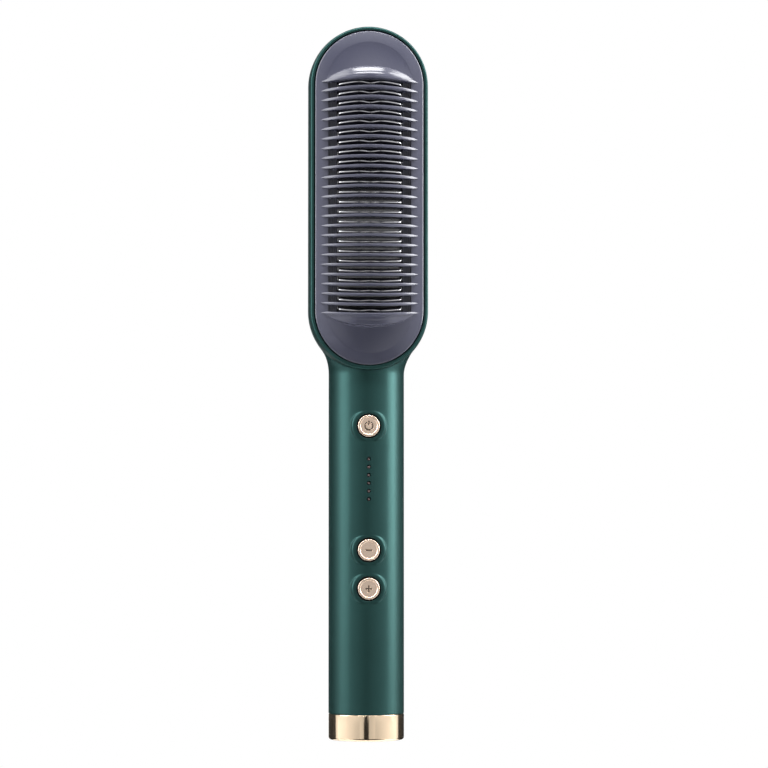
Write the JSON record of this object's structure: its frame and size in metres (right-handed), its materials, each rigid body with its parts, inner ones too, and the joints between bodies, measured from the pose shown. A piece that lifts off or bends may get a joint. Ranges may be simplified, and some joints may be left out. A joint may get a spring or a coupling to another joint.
{
  "type": "heated straightening comb",
  "caption": "Handheld heated hair comb: round handle with buttons and indicators, long head with a domed fin comb over heated fins, and a plated end cap with a turning cord inlet.",
  "frame": {"origin": "centre of the cord inlet's bore at the underside of the end cap, on the handle's axis", "axes": "+Z along the handle up to the head, -Y out of the front where the comb and the buttons face, +X to the right as seen from the front"},
  "size_m": [0.0462, 0.0419, 0.275],
  "materials": {
    "casing": "satin",
    "end_plating": "gloss",
    "button_plating": "satin",
    "comb_plastic": "satin",
    "seal_rubber": "matte",
    "heater_metal": "satin",
    "heater_ceramic": "matte",
    "contact_metal": "satin",
    "insulating_film": "satin",
    "spring_steel": "brushed",
    "screw_steel": "satin",
    "heat_plastic": "matte",
    "fuse_body": "matte",
    "black_plastic": "matte",
    "switch_plastic": "matte",
    "clear_plastic": "gloss",
    "led_plastic": "gloss",
    "board": "satin",
    "capacitor_film": "gloss",
    "terminal_plastic": "matte",
    "red_insulation": "matte",
    "white_insulation": "matte",
    "brown_insulation": "matte"
  },
  "bodies": {
    "casing": {"front_shell": "casing", "rear_shell": "casing", "shell_screws": "screw_steel", "end_cap": "end_plating", "comb_guard": "comb_plastic", "comb_seal": "seal_rubber", "heater_plate": "heater_metal", "ceramic_heaters": "heater_ceramic", "heater_electrodes": "contact_metal", "heater_insulators": "insulating_film", "heater_clamp": "spring_steel", "clamp_screws": "screw_steel", "heater_cover": "heat_plastic", "heater_screws": "screw_steel", "thermal_fuse": "fuse_body", "temperature_sensor": "black_plastic", "button_guide": "black_plastic", "guide_screws": "screw_steel", "power_switch": "black_plastic", "minus_switch": "black_plastic", "plus_switch": "black_plastic", "light_pipe": "clear_plastic", "status_leds": "led_plastic", "control_board": "board", "board_screws": "screw_steel", "filter_capacitor": "capacitor_film", "power_triac": "black_plastic", "control_chip": "black_plastic", "heater_terminal": "terminal_plastic", "mains_terminal": "terminal_plastic", "heater_leads": "red_insulation", "sensor_leads": "white_insulation", "mains_leads": "brown_insulation", "swivel_housing": "black_plastic", "brush_contacts": "contact_metal"},
    "power": {"power_button": "button_plating", "power_plunger": "switch_plastic"},
    "minus": {"minus_button": "button_plating", "minus_plunger": "switch_plastic"},
    "plus": {"plus_button": "button_plating", "plus_plunger": "switch_plastic"},
    "inlet": {"cord_swivel": "black_plastic", "slip_rings": "contact_metal"}
  },
  "joints": [
    {"name": "power_press", "type": "slide", "parent": "casing", "child": "power", "axis": [0, 1, 0], "range_m": [0, 0.0005], "stiffness_N_per_m": 800},
    {"name": "minus_press", "type": "slide", "parent": "casing", "child": "minus", "axis": [0, 1, 0], "range_m": [0, 0.0005], "stiffness_N_per_m": 800},
    {"name": "plus_press", "type": "slide", "parent": "casing", "child": "plus", "axis": [0, 1, 0], "range_m": [0, 0.0005], "stiffness_N_per_m": 800},
    {"name": "cord_turn", "type": "hinge", "parent": "casing", "child": "inlet", "pos_m": [0, 0, 0.01], "axis": [0, 0, 1], "continuous": true}
  ]
}
